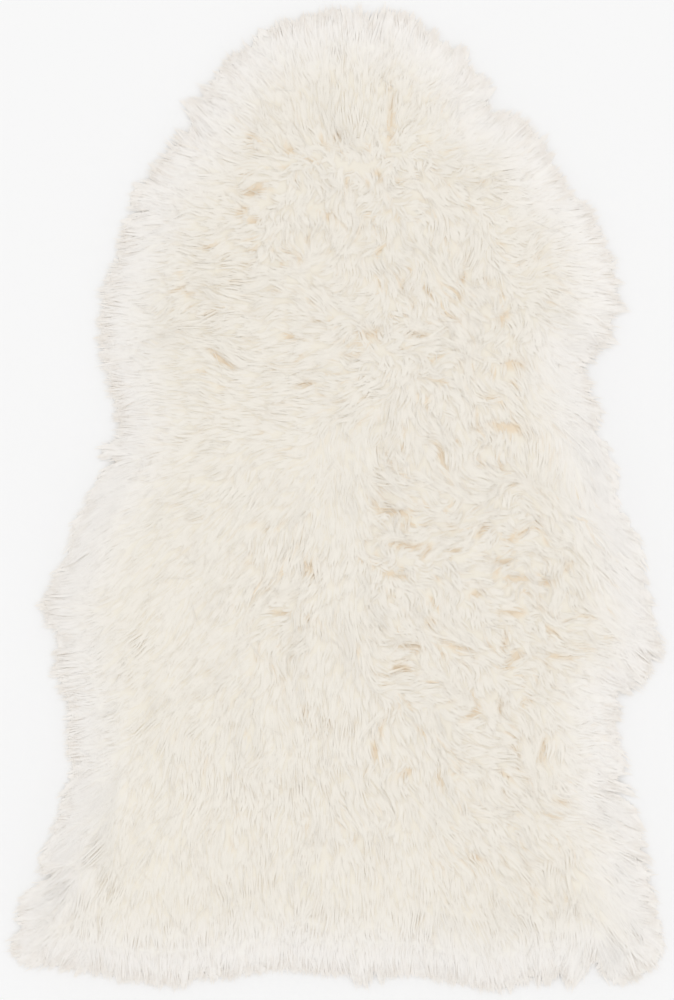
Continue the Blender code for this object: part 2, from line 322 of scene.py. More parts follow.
# The wool's outer face near the rim: how far inside the tips, and its height over the floor.
RIM_FALL = (
    (-20, 1.6), (0, 2), (8, 5), (16, 11), (24, 18), (34, 25), (50, 31), (70, 35), (95, 37),
)  # fmt: skip
NOTCH_START, NOTCH_SLOPE = 6 * MM, 1.6  # beside a notch the wool falls sooner
CROWN_FROM, CROWN_WIDTH = 12 * MM, 60 * MM  # the lumps grow over this width of the rim
TUFT_RISE, TUFT_ACROSS, TUFT_ALONG = 17 * MM, 44 * MM, 66 * MM
TUFT_MEAN = 0.25  # about the mean of the noise that the tufts come from
LUMP_BLUR = 24
SWELL_RISE, SWELL_LENGTH = 7 * MM, 160 * MM
SWELL_LAYER = 5  # the swells' layer of the noise; the tufts are in layer 0


def eased(t):
    """0 up to 0, 1 from 1 on, and a smooth rise between."""
    t = np.clip(t, 0, 1)
    return t * t * (3 - 2 * t)


def height_chart():
    """The wool's outer face: a fall to the floor round the rim, broad swells, and tufts."""
    lumps = np.empty(CHART_SIZE)
    for spot in np.ndindex(*CHART_SIZE):
        x, y = PLACES[spot]
        tufts = abs(noise.noise((x / TUFT_ACROSS, y / TUFT_ALONG, 0)))
        swells = noise.noise((x / SWELL_LENGTH, y / SWELL_LENGTH, SWELL_LAYER))
        lumps[spot] = TUFT_RISE * (tufts - TUFT_MEAN) + SWELL_RISE * swells
    fall = np.array(RIM_FALL) * MM
    inside = np.minimum(INSIDE, NOTCH_START + NOTCH_SLOPE * ROOM)
    lumps = blurred(lumps, LUMP_BLUR)
    return np.interp(inside, fall[:, 0], fall[:, 1]) + lumps * eased(
        (INSIDE - CROWN_FROM) / CROWN_WIDTH
    )


def combed_chart(grain, reach):
    """Ridges that lie along the combing: even noise of that grain, each place's value the mean
    along the way that the wool runs through it. Their spread is 1."""
    ridges = blurred(rng.normal(0, 1, CHART_SIZE), grain)
    way = WAY / (np.linalg.norm(WAY, axis=-1, keepdims=True) + 1e-9)
    total = ridges.copy()
    for sense in (-1, 1):
        places = PLACES
        for _ in range(round(reach / CHART_STEP)):
            places = places + sense * CHART_STEP * read(way, places)
            total += read(ridges, places)
    return total / total.std()


def facing_chart(height):
    """The unit direction that a surface of that height faces, for each place."""
    slopes = np.gradient(height, CHART_STEP)
    facing = np.stack([-slopes[0], -slopes[1], np.ones(CHART_SIZE)], axis=-1)
    return facing / np.linalg.norm(facing, axis=-1, keepdims=True)


FULL_HEIGHT = 37 * MM  # the height of wool for which the rises and depths are given
FULLY_ROUGH = 0.55  # wool of this curl or more is as rough as it gets
RIDGE_RISE, RIDGE_GRAIN, RIDGE_REACH = 0.6 * MM, 3, 22 * MM
SMOOTH_RIDGES = 0.35  # what combed wool keeps of the ridges
CREVICE_DEPTH, CREVICE_GRAIN, CREVICE_REACH = 1.0 * MM, 0, 8 * MM
SMOOTH_CREVICES = 0.1  # and of the crevices
CREVICE_FROM = 1.2  # they start so many spreads below the mean, and are full at twice that
PARTING_DEPTH = 2.1 * MM
BEND_BLUR, FACING_BLUR = 40, 2


def roughened(smooth):
    """1 where the wool is rough, falling to that share where it is combed smooth."""
    return smooth + (1 - smooth) * ROUGH


ROOM = inside_chart(TIP_LINE)  # how far inside the tips
INSIDE = inside_chart(PELT_LINE)  # how far inside the pelt's line, which has no tufts
WAY, CURL = combing_charts()
HEIGHT = height_chart()
PARTED = parting_chart(PARTINGS)
MEETING = 1 - np.linalg.norm(WAY, axis=-1)  # 0 where the wool runs one way
ROUGH = eased(CURL / FULLY_ROUGH)  # 0 where the wool is combed smooth, 1 where it curls
RIDGES = combed_chart(RIDGE_GRAIN, RIDGE_REACH) * roughened(SMOOTH_RIDGES)
CREVICES = eased(
    (-CREVICE_FROM - combed_chart(CREVICE_GRAIN, CREVICE_REACH)) / CREVICE_FROM
) * roughened(SMOOTH_CREVICES)
BENDING = blurred(rng.normal(0, 1, CHART_SIZE), BEND_BLUR)  # which way the locks bend
BENDING /= BENDING.std()
GROWN = np.minimum(HEIGHT / FULL_HEIGHT, 1) ** 2  # the rim's wool lies smoother
SURFACE = HEIGHT + GROWN * (
    RIDGE_RISE * RIDGES - CREVICE_DEPTH * CREVICES - PARTING_DEPTH * PARTED
)
FACING = facing_chart(blurred(SURFACE, FACING_BLUR))

# ---------------------------------------------------------------- strands of wool

SIDES = 3  # a strand's section is a triangle
GIRTH = 2.6  # the way round it, in widths
BED_DEPTH = 0.8 * MM  # the underwool's top lies at most this far under the wool's outer face
MIDDLE_FROM = 40 * MM  # how far inside the rim the middle starts
BEND_TURNS = 0.3  # a lock's bend goes from one side to the other at this part of its length
COVER_BLUR = 3


def strand_template(rings):
    """A closed strand of that many rings and a point: for each vertex its ring and corner,
    and its triangles."""
    bm = bmesh.new()
    bmesh.ops.create_cone(bm, cap_ends=True, segments=SIDES, radius1=1, radius2=1, depth=1)
    bmesh.ops.translate(bm, verts=bm.verts, vec=(0, 0, 0.5))
    end = max(bm.faces, key=lambda face: face.calc_center_median().z)
    for _ in range(rings - 1):
        end = bmesh.ops.extrude_discrete_faces(bm, faces=[end])["faces"][0]
        bmesh.ops.translate(bm, verts=end.verts, vec=(0, 0, 1))
    bmesh.ops.pointmerge(bm, verts=end.verts, merge_co=(0, 0, rings))
    bmesh.ops.recalc_face_normals(bm, faces=bm.faces)
    bmesh.ops.triangulate(bm, faces=bm.faces)
    bm.verts.index_update()
    ring = np.array([round(v.co.z) for v in bm.verts])
    corner = np.array([round(math.atan2(v.co.y, v.co.x) / TAU * SIDES) % SIDES for v in bm.verts])
    faces = np.array([[v.index for v in face.verts] for face in bm.faces])
    bm.free()
    return ring, corner, faces


def traced(roots, length, turn, bend, wave, phase, steps):
    """Paths over the floor that follow the combing, each turned from it by its own angle,
    bent, and waved."""
    path = [roots]
    for step in range(steps):
        share = (step + 0.5) / steps
        way = read(WAY, path[-1])
        heading = np.arctan2(way[:, 0], way[:, 1])
        heading += turn + bend * (share - BEND_TURNS) + wave * np.sin(TAU * (share + phase))
        ahead = np.stack([np.sin(heading), np.cos(heading)], axis=-1)
        path.append(path[-1] + ahead * (length / steps)[:, None])
    return np.stack(path, axis=1)


def cover_chart(paths):
    """How many strands show at each place, from the paths of all."""
    stops = []
    for path in paths:
        for share in (0, 0.25, 0.5, 0.75):
            stops.append((path[:, :-1] * (1 - share) + path[:, 1:] * share).reshape(-1, 3))
    stops = np.concatenate(stops)
    stops = stops[stops[:, 2] > read(SURFACE, stops[:, :2]) - BED_DEPTH, :2]
    cells = ((stops - CHART_LOW) / CHART_STEP + 0.5).astype(int)
    cells = np.clip(cells, 0, np.array(CHART_SIZE) - 1)
    cover = np.zeros(CHART_SIZE)
    np.add.at(cover, (cells[:, 0], cells[:, 1]), 1)
    return blurred(cover, COVER_BLUR)


# A kind of lock, with its lengths in mm.
#   pitch: how far apart the locks stand
#   low, high: how far inside the rim they are rooted
#   curled, most: the curl of the wool there
#   length, strands: a lock's length, and how many strands it has
#   width, flatness: a strand's width, and its thickness as a share of that
#   spread, left: a lock's width at its root, and the share of that left at its tip
#   uneven: how unevenly the locks lie, in radians
#   layer: how far under the others a lock may lie, or over them if less than nothing
#   rooted: how far under the wool's outer face its root is
#   rings: the rings of a strand
#   parts: if the locks keep out of the partings
#   thin: the share of the usual cover below which they are laid; None lays them everywhere
Lock = collections.namedtuple(
    "Lock",
    "pitch low high curled most length strands width flatness spread left uneven layer rooted "
    "rings parts thin",
)
ROOTS_WIDE, ROOTS_LONG = 680 * MM, 970 * MM  # the floor on which roots are tried
ROW_PITCH = 0.866  # their rows stand as in a honeycomb
ROOT_SCATTER = 0.42  # and each root is moved by up to this part of the pitch
ROOTS_KEPT, MORE_MEETING = 0.72, 1.4  # the share that is kept, and the more where ways part
LINE_STEPS = 12  # the straight steps of a lock's centre line
LENGTHS = (0.8, 1.2)  # a lock's length, as shares of its kind's
CURL_SHORTENS = 0.38  # the part of it that tight curls take up
FREE_STEPS, ROOT_STEPS = 20, 4  # the steps that look for a parting, and those at the root
PARTED_FROM = 0.6
COVER_STEPS = 8  # the steps that look at the cover
LINE_LOOKS = 31  # the places along a strand that look for the tips' line


def lock_roots(kind):
    """Uneven but well spread places where a kind of lock is rooted."""
    pitch = kind.pitch * MM
    rows = int(ROOTS_LONG / (pitch * ROW_PITCH))
    columns = int(ROOTS_WIDE / pitch)
    j, i = np.meshgrid(np.arange(rows), np.arange(columns))
    x = CHART_LOW[0] + (i + 0.5 * (j % 2)) * pitch
    y = CHART_LOW[1] + j * pitch * ROW_PITCH
    roots = np.stack([x.ravel(), y.ravel()], axis=-1)
    roots += rng.uniform(-ROOT_SCATTER, ROOT_SCATTER, roots.shape) * pitch
    inside, curl = read(INSIDE, roots), read(CURL, roots)
    wanted = (inside >= kind.low * MM) & (inside < kind.high * MM)
    wanted &= (curl >= kind.curled) & (curl < kind.most)
    kept = np.clip(ROOTS_KEPT + MORE_MEETING * read(MEETING, roots), 0, 1)
    return roots[wanted & (rng.random(len(roots)) < kept)]


def free_length(roots, length, angles):
    """How much of each lock's length is free before it runs into a parting."""
    path = traced(roots, length, *angles, FREE_STEPS)
    stopped = read(PARTED, path) > PARTED_FROM
    stopped[:, :ROOT_STEPS] = False
    first = np.where(stopped.any(axis=1), stopped.argmax(axis=1), FREE_STEPS)
    return length * first / FREE_STEPS


def lock_lines(kind, cover):
    """The centre lines of one kind of lock. Where a chart of the cover is given, the locks
    lie where that is thin. The curled ones are shorter, bend and wave more."""
    roots = lock_roots(kind)
    count = len(roots)
    curl = read(CURL, roots)
    length = kind.length * MM * rng.uniform(*LENGTHS, count) * (1 - CURL_SHORTENS * curl)
    angles = (
        rng.normal(0, 1, count) * (kind.uneven + 0.05 * curl + 0.6 * read(MEETING, roots)),
        rng.normal(0, 0.15, count) + 0.85 * curl * read(BENDING, roots),
        rng.uniform(0.04, 0.16, count) + 0.22 * curl,
        rng.uniform(0, 1, count),
    )
    if cover is not None:
        # only what lies over the underwool counts as cover, so a lock's start is left out
        in_bed = max(1 - math.sqrt(BED_DEPTH / (kind.rooted * MM)), 0)
        path = traced(roots, length, *angles, COVER_STEPS)[:, round(COVER_STEPS * in_bed) :]
        thin = read(cover, path).mean(axis=1) < kind.thin * np.median(cover[INSIDE > MIDDLE_FROM])
        roots, length = roots[thin], length[thin]
        angles = [angle[thin] for angle in angles]
    if kind.parts:
        length = free_length(roots, length, angles)
    return traced(roots, length, *angles, LINE_STEPS)


LOCK_THICKNESS = 0.028  # a lock's thickness, as a share of its width
LOCK_ARCH, TIP_DIP = 0.28 * MM, 0.6 * MM  # a lock's middle is raised, and its tip is turned down
GATHERING = 1.3  # a lock draws together slowly at first, by this power of its length
STARTS, REACHES = (0, 0.22), (0.74, 1.0)  # where strands start and end along their lock
WIDTHS = (0.6, 1.3)  # a strand's width, as shares of its kind's
ROLLS = (-0.6, 0.6)  # how far it is turned round its line, in radians
PAST_TIPS = (-2.5, 2.5)  # how far a lock reaches past the tips' line, in mm
PAST_OWN = (-1, 1)  # how far each of its strands reaches past the lock, in mm
LONG_SHARE, LONG_BY = 0.15, 4  # and this share of them by up to so many mm more
SHORTEST = 0.1  # a strand of a smaller part of its lock's length is left out
FRIZZ = 0.35 * MM
FLOOR_GAP = 0.9 * MM  # a strand's centre line lies at least this high
ROOT_DEPTH = 3.5 * MM  # at about this depth the wool has the colour of its roots
EDGE_FROM, EDGE_WIDTH = 10 * MM, 64 * MM


def edge_share(places):
    """1 at the rim, falling to 0 some way inside it."""
    return 1 - eased((read(INSIDE, places) - EDGE_FROM) / EDGE_WIDTH)


def wool_strands(kind, cover):
    """Paths, widths and tones of all the strands of one kind of lock. Where a chart of the
    cover is given, the locks lie where that is thin."""
    centre = lock_lines(kind, cover)
    count = len(centre)
    layer = rng.uniform(0, 1, count) * kind.layer * MM
    lock_tone = rng.normal(0, 1, count)

    # each lock's own strands, spread round its centre line and drawn together at its tip
    lock = np.repeat(np.arange(count), kind.strands)
    n = len(lock)
    start, reach = rng.uniform(*STARTS, n), rng.uniform(*REACHES, n)
    angle, radius = rng.uniform(0, TAU, n), np.sqrt(rng.uniform(0, 1, n))

    def laid(along, chosen, drawn):
        """Where the chosen strands run at those parts of their locks' lengths, the way across
        them, and how far they spread. Drawn is where each one's lock draws to its tip."""
        spot = along * LINE_STEPS
        cell = np.clip(spot.astype(int), 0, LINE_STEPS - 1)
        part = (spot - cell)[..., None]
        line = centre[lock[chosen]]
        pick = np.arange(len(chosen))[:, None]
        path = line[pick, cell] * (1 - part) + line[pick, cell + 1] * part
        ahead = line[pick, cell + 1] - line[pick, cell]
        ahead /= np.linalg.norm(ahead, axis=-1, keepdims=True) + 1e-9
        across = np.stack([ahead[..., 1], -ahead[..., 0]], axis=-1)
        gather = 1 - (1 - kind.left) * np.minimum(along / drawn[:, None], 1) ** GATHERING
        spread = kind.spread * MM / 2 * radius[chosen, None] * gather
        aside = np.cos(angle[chosen])[:, None] * spread
        return path + across * aside[..., None], across, spread

    # a strand ends where it passes the tips' line, its lock's fellows at much the same place
    past = rng.uniform(*PAST_TIPS, count)[lock] + rng.uniform(*PAST_OWN, n)
    past = (past + (rng.random(n) < LONG_SHARE) * rng.uniform(0, LONG_BY, n)) * MM
    looks = np.linspace(0, 1, LINE_LOOKS)
    trial = laid(start[:, None] + (1 - start[:, None]) * looks, np.arange(n), np.ones(n))[0]
    stopped = read(ROOM, trial) < -past[:, None]
    first = np.where(stopped.any(axis=1), stopped.argmax(axis=1), LINE_LOOKS - 1)
    reach = np.minimum(reach, start + (1 - start) * looks[first])
    drawn = np.zeros(count)
    np.maximum.at(drawn, lock, reach)
    chosen = np.nonzero(reach > start + SHORTEST)[0]
    n, start, reach, lock_of = len(chosen), start[chosen], reach[chosen], lock[chosen]

    share = np.linspace(0, 1, kind.rings + 1)
    along = start[:, None] + (reach - start)[:, None] * share
    path, across, spread = laid(along, chosen, drawn[lock_of])
    frizz = rng.normal(0, FRIZZ, (n, kind.rings + 1)) * np.minimum(share * 3, 1)
    path = path + across * frizz[..., None]
    outer = read(SURFACE, path)
    sag = read(SURFACE, (path[:, 1:] + path[:, :-1]) / 2) - (outer[:, 1:] + outer[:, :-1]) / 2
    sag = np.pad(np.maximum(sag, 0), ((0, 0), (1, 1)))
    outer += np.maximum(sag[:, 1:], sag[:, :-1])  # so that no straight step cuts through a lump
    scale = np.minimum(outer / FULL_HEIGHT, 1)
    # from its root a strand rises towards the wool's outer face, and its tip dips again
    height = (
        outer
        - scale * kind.rooted * MM * (1 - along) ** 2
        - scale * layer[lock_of][:, None]
        + scale * LOCK_THICKNESS * np.sin(angle[chosen])[:, None] * spread
        + scale * LOCK_ARCH * np.sin(math.pi * along)
        - scale * TIP_DIP * along**5
    )
    height = np.maximum(height, FLOOR_GAP)
    rough = read(ROUGH, path)
    # its tone is its lock's and its own, and varies more where the wool is rough
    tone = (0.6 * lock_tone[lock_of] + 0.8 * rng.normal(0, 1, n)) * (0.5 + 0.5 * rough[:, 0])
    width = kind.width * MM * rng.uniform(*WIDTHS, n)
    # 0 on the wool's outer face to 1 at the roots, and deeper in crevices and partings: the roots'
    # yellow from the grease, and painted shade on the lower strands and in the crevices and
    # partings
    depth = (0.32 + 0.12 * rough) * (outer + 1 * MM - height) / (scale * ROOT_DEPTH + 2 * MM)
    depth = depth + 0.75 * read(CREVICES, path) + 0.5 * read(PARTED, path)
    return dict(
        path=np.concatenate([path, height[..., None]], axis=-1),
        width=width,
        tone=tone,
        roll=rng.uniform(*ROLLS, n),
        depth=np.clip(depth, 0, 1),
        edge=edge_share(path),
        seed=rng.uniform(0, 100, n),
        flatness=np.full(n, kind.flatness),
    )


# Along a strand, the share of its full width that it has.
STRAND_TAPER = ((0, 0.6), (0.2, 1), (0.5, 0.9), (0.8, 0.5), (1, 0))

# A strand stands for a wisp of fibres that lie every way round its line, so it catches the
# light mostly as the fleece's outer face does, and only a little as a rod of its own.
OWN_FACING = 0.1
STRAND_LOW = 0.15 * MM  # no strand reaches lower
TONE_MIDDLE, TONE_SPREAD = 0.5, 0.15


def strand_piece(name, strands, rings):
    """Joins copies of the strand template, one along each path, into one piece."""
    ring, corner, faces = strand_template(rings)
    path, width = strands["path"], strands["width"]
    count = len(path)
    ahead = np.gradient(path, axis=1)
    ahead /= np.linalg.norm(ahead, axis=-1, keepdims=True) + 1e-9
    side = np.cross([0, 0, 1], ahead)
    side /= np.linalg.norm(side, axis=-1, keepdims=True) + 1e-9
    upward = np.cross(ahead, side)
    share = ring / rings
    taper = np.interp(share, *zip(*STRAND_TAPER))
    turn = corner / SIDES * TAU + math.pi / 2 + strands["roll"][:, None]
    half = (width[:, None] / 2 * taper)[..., None]
    outwards = (
        np.cos(turn)[..., None] * side[:, ring]
        + (strands["flatness"][:, None] * np.sin(turn))[..., None] * upward[:, ring]
    )
    points = path[:, ring] + half * outwards
    facing = read(FACING, points[..., :2]) + OWN_FACING * outwards
    points[..., 2] = np.maximum(points[..., 2], STRAND_LOW)
    steps = np.linalg.norm(np.diff(path, axis=1), axis=-1)
    run = np.concatenate([np.zeros((count, 1)), np.cumsum(steps, axis=1)], axis=1)
    girth = corner / SIDES * width[:, None] * GIRTH
    fibre = np.stack(
        [girth, run[:, ring], np.broadcast_to(strands["seed"][:, None], girth.shape)], axis=-1
    )
    tone = strands["tone"] * TONE_SPREAD + TONE_MIDDLE
    # the depth, which carries painted shade as well as the roots' yellow, the random tone, and the
    # share of the rim
    shade = np.stack(
        [
            strands["depth"][:, ring],
            np.broadcast_to(tone[:, None], girth.shape),
            strands["edge"][:, ring],
        ],
        axis=-1,
    )
    underside = ((corner[faces] != 0) | (ring[faces] == rings)).all(axis=1)
    facing = facing[:, faces] * np.where(underside, -1, 1)[:, None, None]
    all_faces = faces + len(ring) * np.arange(count)[:, None, None]
    return mesh_piece(name, points, all_faces, facing, {"fibre": fibre, "shade": shade})


def mesh_piece(name, points, faces, facing, vectors):
    """A smooth mesh object of these triangles, with the way that each of their corners faces
    and further vectors at the vertices."""
    points, faces, facing = (a.reshape(-1, 3) for a in (points, faces, facing))
    mesh = bpy.data.meshes.new(name)
    mesh.vertices.add(len(points))
    mesh.vertices.foreach_set("co", points.ravel())
    mesh.loops.add(faces.size)
    mesh.loops.foreach_set("vertex_index", faces.ravel())
    mesh.polygons.add(len(faces))
    mesh.polygons.foreach_set("loop_start", np.arange(0, faces.size, 3))
    mesh.update(calc_edges=True)
    mesh.shade_smooth()
    facing /= np.linalg.norm(facing, axis=-1, keepdims=True)
    mesh.normals_split_custom_set(facing)
    for key, values in vectors.items():
        layer = mesh.attributes.new(key, "FLOAT_VECTOR", "POINT")
        layer.data.foreach_set("vector", values.reshape(-1))
    return placed(bpy.data.objects.new(name, mesh))


def placed(piece):
    """Puts a piece in the scene."""
    bpy.context.scene.collection.objects.link(piece)
    return piece


# ---------------------------------------------------------------- hide and underwool

HIDE_THICKNESS = 1.8 * MM
HIDE_INSET = 27 * MM  # how far the rim's wool hangs past the hide's edge
HIDE_POINTS = 300
INSET_STEP = 1.5 * MM


def drawn_in(loop, inset):
    """The loop moved inwards by inset, in small steps that keep its points apart."""
    steps = math.ceil(inset / INSET_STEP)
    for _ in range(steps):
        loop = softened(loop - outward(loop) * inset / steps, 1)
    return loop


def hide_sheet():
    """The tanned hide, flat on the floor under the wool, with its flat size and area."""
    rim = drawn_in(evenly(PELT_LINE, HIDE_POINTS), HIDE_INSET)
    bm = bmesh.new()
    face = bm.faces.new([bm.verts.new((*place, 0)) for place in rim])
    made = bmesh.ops.extrude_face_region(bm, geom=[face], use_keep_orig=True)["geom"]
    top = [v for v in made if isinstance(v, bmesh.types.BMVert)]
    bmesh.ops.translate(bm, verts=top, vec=(0, 0, HIDE_THICKNESS))
    bmesh.ops.recalc_face_normals(bm, faces=bm.faces)
    mesh = bpy.data.meshes.new("hide")
    bm.to_mesh(mesh)
    bm.free()
    shifted = np.roll(rim, -1, axis=0)
    area = abs((rim[:, 0] * shifted[:, 1] - rim[:, 1] * shifted[:, 0]).sum()) / 2
    return placed(bpy.data.objects.new("hide", mesh)), rim.max(axis=0) - rim.min(axis=0), area


BED_WIDE, BED_LONG = 640 * MM, 940 * MM  # the grid that the underwool is cut from
BED_CELL = 3.3 * MM
BED_INSET = 2 * MM  # it ends this far inside the tips
BED_FILL = 5  # the rounds of blur that fill the narrow slits between the tufts
BED_FITTED = 0.4 * BED_CELL  # how far a point of its edge is moved at most
BED_BOTTOM = 0.4 * MM  # it lies on the floor past the hide's edge
BED_LOW_TOP = 1.1 * MM
FACES_DOWN = -0.5  # a face whose normal is lower belongs to the flat underside


def underwool():
    """The dense wool between the hide and the locks: a lumpy bed with a closed underside."""
    bm = bmesh.new()
    columns, rows = round(BED_WIDE / BED_CELL), round(BED_LONG / BED_CELL)
    bmesh.ops.create_grid(bm, x_segments=columns, y_segments=rows, size=0.5)
    bmesh.ops.scale(bm, verts=bm.verts, vec=(BED_WIDE, BED_LONG, 1))
    spots = np.array([v.co.xy for v in bm.verts])
    room = blurred(ROOM, BED_FILL)
    outside = [v for v, inside in zip(bm.verts, read(room, spots)) if inside < BED_INSET]
    bmesh.ops.delete(bm, geom=outside, context="VERTS")
    pinched = [None]
    while pinched:  # until its edge meets itself nowhere
        pinched = [
            v
            for v in bm.verts
            if not v.link_faces or sum(e.is_boundary for e in v.link_edges) > 2
        ]
        bmesh.ops.delete(bm, geom=pinched, context="VERTS")
    rim = [v for v in bm.verts if v.is_boundary]
    spots = np.array([v.co.xy for v in rim])
    slopes = np.stack(np.gradient(room, CHART_STEP), axis=-1)
    nearer = read(slopes, spots) * (BED_INSET - read(room, spots))[:, None]
    for vertex, move in zip(rim, np.clip(nearer, -BED_FITTED, BED_FITTED)):
        vertex.co.xy += Vector(move)
    spots = np.array([v.co.xy for v in bm.verts])
    tops = read(SURFACE, spots) - BED_DEPTH * (0.5 + 0.5 * read(ROUGH, spots))
    for vertex, top in zip(bm.verts, tops):
        vertex.co.z = max(top, BED_LOW_TOP)
    rim = [e for e in bm.edges if e.is_boundary]
    made = bmesh.ops.extrude_edge_only(bm, edges=rim)["geom"]
    for vertex in made:
        if isinstance(vertex, bmesh.types.BMVert):
            vertex.co.z = BED_BOTTOM
    bmesh.ops.edgeloop_fill(bm, edges=[e for e in bm.edges if e.is_boundary])
    bmesh.ops.recalc_face_normals(bm, faces=bm.faces)
    bmesh.ops.triangulate(bm, faces=bm.faces)
    bm.normal_update()
    for face in bm.faces:
        face.smooth = face.normal.z > FACES_DOWN
    spots = np.array([v.co.xy for v in bm.verts])
    mesh = bpy.data.meshes.new("underwool")
    bm.to_mesh(mesh)
    bm.free()
    # painted shade: the underwool takes a darker, warmer colour in crevices and partings, and a
    # little of it everywhere
    painted_crease_shade = eased(0.2 + 0.8 * read(CREVICES, spots) + read(PARTED, spots))
    shade = np.stack([painted_crease_shade, np.full(len(spots), 0.5), edge_share(spots)], axis=-1)
    layer = mesh.attributes.new("shade", "FLOAT_VECTOR", "POINT")
    layer.data.foreach_set("vector", shade.ravel())
    return placed(bpy.data.objects.new("underwool", mesh))


# ---------------------------------------------------------------- materials


def colour(hex_value):
    """A colour written as sRGB hex, turned to linear."""
    channels = [int(hex_value[k : k + 2], 16) / 255 for k in (1, 3, 5)]
    linear = [c / 12.92 if c <= 0.04045 else ((c + 0.055) / 1.055) ** 2.4 for c in channels]
    return (*linear, 1)


def add(tree, kind, links=(), **settings):
    """Adds a node with its settings, and links its inputs: {input: (node, output)}."""
    new = tree.nodes.new(kind)
    for key, value in settings.items():
        if key in new.inputs.keys():
            new.inputs[key].default_value = value
        else:
            setattr(new, key, value)
    for key, (source, output) in dict(links).items():
        tree.links.new(source.outputs[output], new.inputs[key])
    return new


MIX_A, MIX_B, MIXED = 6, 7, 2  # the colour sockets of a mix node


def blank_material(name):
    material = bpy.data.materials.new(name)
    material.use_nodes = True
    return material, material.node_tree, material.node_tree.nodes["Principled BSDF"]


# the deep wool colour is the roots' grease yellow and also painted shade, laid on lower strands
# and in crevices and partings
WOOL_TIP, WOOL_RIM, WOOL_ROOT_YELLOW_AND_SHADE = "#F8F3E9", "#FEFBF7", "#F1E0C5"
TONE_LOW, TONE_HIGH = 0.975, 1.01  # how much darker or lighter a strand may be
STREAK_LOW, STREAK_HIGH = 0.985, 1.005  # and a fibre on it
FIBRE_WIDTH = 1.1 * MM  # a fibre is 0.04 mm: drawn coarser, as wisps of them, so that it shows
FIBRE_WAVE = 14 * MM  # and its tone changes over this length


def wool_material():
    """Sheep's wool, washed and combed. Fine fibres run along every strand, the tips are
    ivory, and the wool grows warmer towards its roots, which the grease keeps yellow. The same
    deep colour is laid as painted shade on the lower strands and in the crevices and partings."""
    material, tree, shader = blank_material("ivory_fleece_wool")
    fibre = add(tree, "ShaderNodeAttribute", attribute_name="fibre")
    shade = add(tree, "ShaderNodeAttribute", attribute_name="shade")
    split = add(tree, "ShaderNodeSeparateXYZ", {"Vector": (shade, "Vector")})
    place = add(
        tree,
        "ShaderNodeMapping",
        {"Vector": (fibre, "Vector")},
        Scale=(1 / FIBRE_WIDTH, 1 / FIBRE_WAVE, 1),
    )
    streak = add(tree, "ShaderNodeTexNoise", {"Vector": (place, "Vector")}, Scale=1, Detail=2)
    # how much of the deep colour is mixed in: the roots' yellow, and painted shade where shade
    # falls
    depth = add(
        tree, "ShaderNodeMapRange", {"Value": (split, "X")}, interpolation_type="SMOOTHSTEP"
    )
    rim = add(tree, "ShaderNodeMix", {"Factor": (split, "Z")}, data_type="RGBA")
    rim.inputs[MIX_A].default_value = colour(WOOL_TIP)
    rim.inputs[MIX_B].default_value = colour(WOOL_RIM)
    deep_and_shade = add(
        tree,
        "ShaderNodeMix",
        {"Factor": (depth, "Result"), MIX_A: (rim, MIXED)},
        data_type="RGBA",
    )
    deep_and_shade.inputs[MIX_B].default_value = colour(WOOL_ROOT_YELLOW_AND_SHADE)
    tone = add(
        tree,
        "ShaderNodeMapRange",
        {"Value": (split, "Y")},
        **{"From Min": 0, "From Max": 1, "To Min": TONE_LOW, "To Max": TONE_HIGH},
    )
    streaked = add(
        tree,
        "ShaderNodeMapRange",
        {"Value": (streak, "Fac")},
        **{"From Min": 0.3, "From Max": 0.7, "To Min": STREAK_LOW, "To Max": STREAK_HIGH},
    )
    factors = {0: (tone, "Result"), 1: (streaked, "Result")}
    both = add(tree, "ShaderNodeMath", factors, operation="MULTIPLY")
    shaded = add(
        tree, "ShaderNodeHueSaturation", {"Color": (deep_and_shade, MIXED), "Value": (both, "Value")}
    )
    bump = add(
        tree, "ShaderNodeBump", {"Height": (streak, "Fac")}, Strength=0.2, Distance=0.2 * MM
    )
    tree.links.new(shaded.outputs["Color"], shader.inputs["Base Color"])
    tree.links.new(bump.outputs["Normal"], shader.inputs["Normal"])
    shader.inputs["Roughness"].default_value = 0.7
    shader.inputs["Specular IOR Level"].default_value = 0.25
    shader.inputs["Sheen Weight"].default_value = 0.25
    shader.inputs["Sheen Roughness"].default_value = 0.45
    return material


# the underwool's colour, its painted crease shade, and its paler rim
BED_HIGH, BED_CREASE_SHADE, BED_RIM = "#F5F0E4", "#F1E1C9", "#FCF9F4"


def underwool_material():
    """The short wool at the locks' roots: felted, matte, and yellowed by the grease, with painted
    shade: darker and warmer in its crevices and partings, and a little everywhere.
    """
    material, tree, shader = blank_material("creamy_underwool")
    shade = add(tree, "ShaderNodeAttribute", attribute_name="shade")
    split = add(tree, "ShaderNodeSeparateXYZ", {"Vector": (shade, "Vector")})
    deep_and_shade = add(tree, "ShaderNodeMix", {"Factor": (split, "X")}, data_type="RGBA")
    deep_and_shade.inputs[MIX_A].default_value = colour(BED_HIGH)
    deep_and_shade.inputs[MIX_B].default_value = colour(BED_CREASE_SHADE)
    rim = add(
        tree, "ShaderNodeMix", {"Factor": (split, "Z"), MIX_A: (deep_and_shade, MIXED)}, data_type="RGBA"
    )
    rim.inputs[MIX_B].default_value = colour(BED_RIM)
    tree.links.new(rim.outputs[MIXED], shader.inputs["Base Color"])
    shader.inputs["Roughness"].default_value = 0.95
    shader.inputs["Specular IOR Level"].default_value = 0.1
    return material


SUEDE_DARK, SUEDE_LIGHT = "#D9CBB0", "#EDE2CD"
CLOUD_SIZE = 45 * MM
NAP_SIZE = 1.2 * MM  # a nap of about 0.1 mm, drawn coarser so that it shows


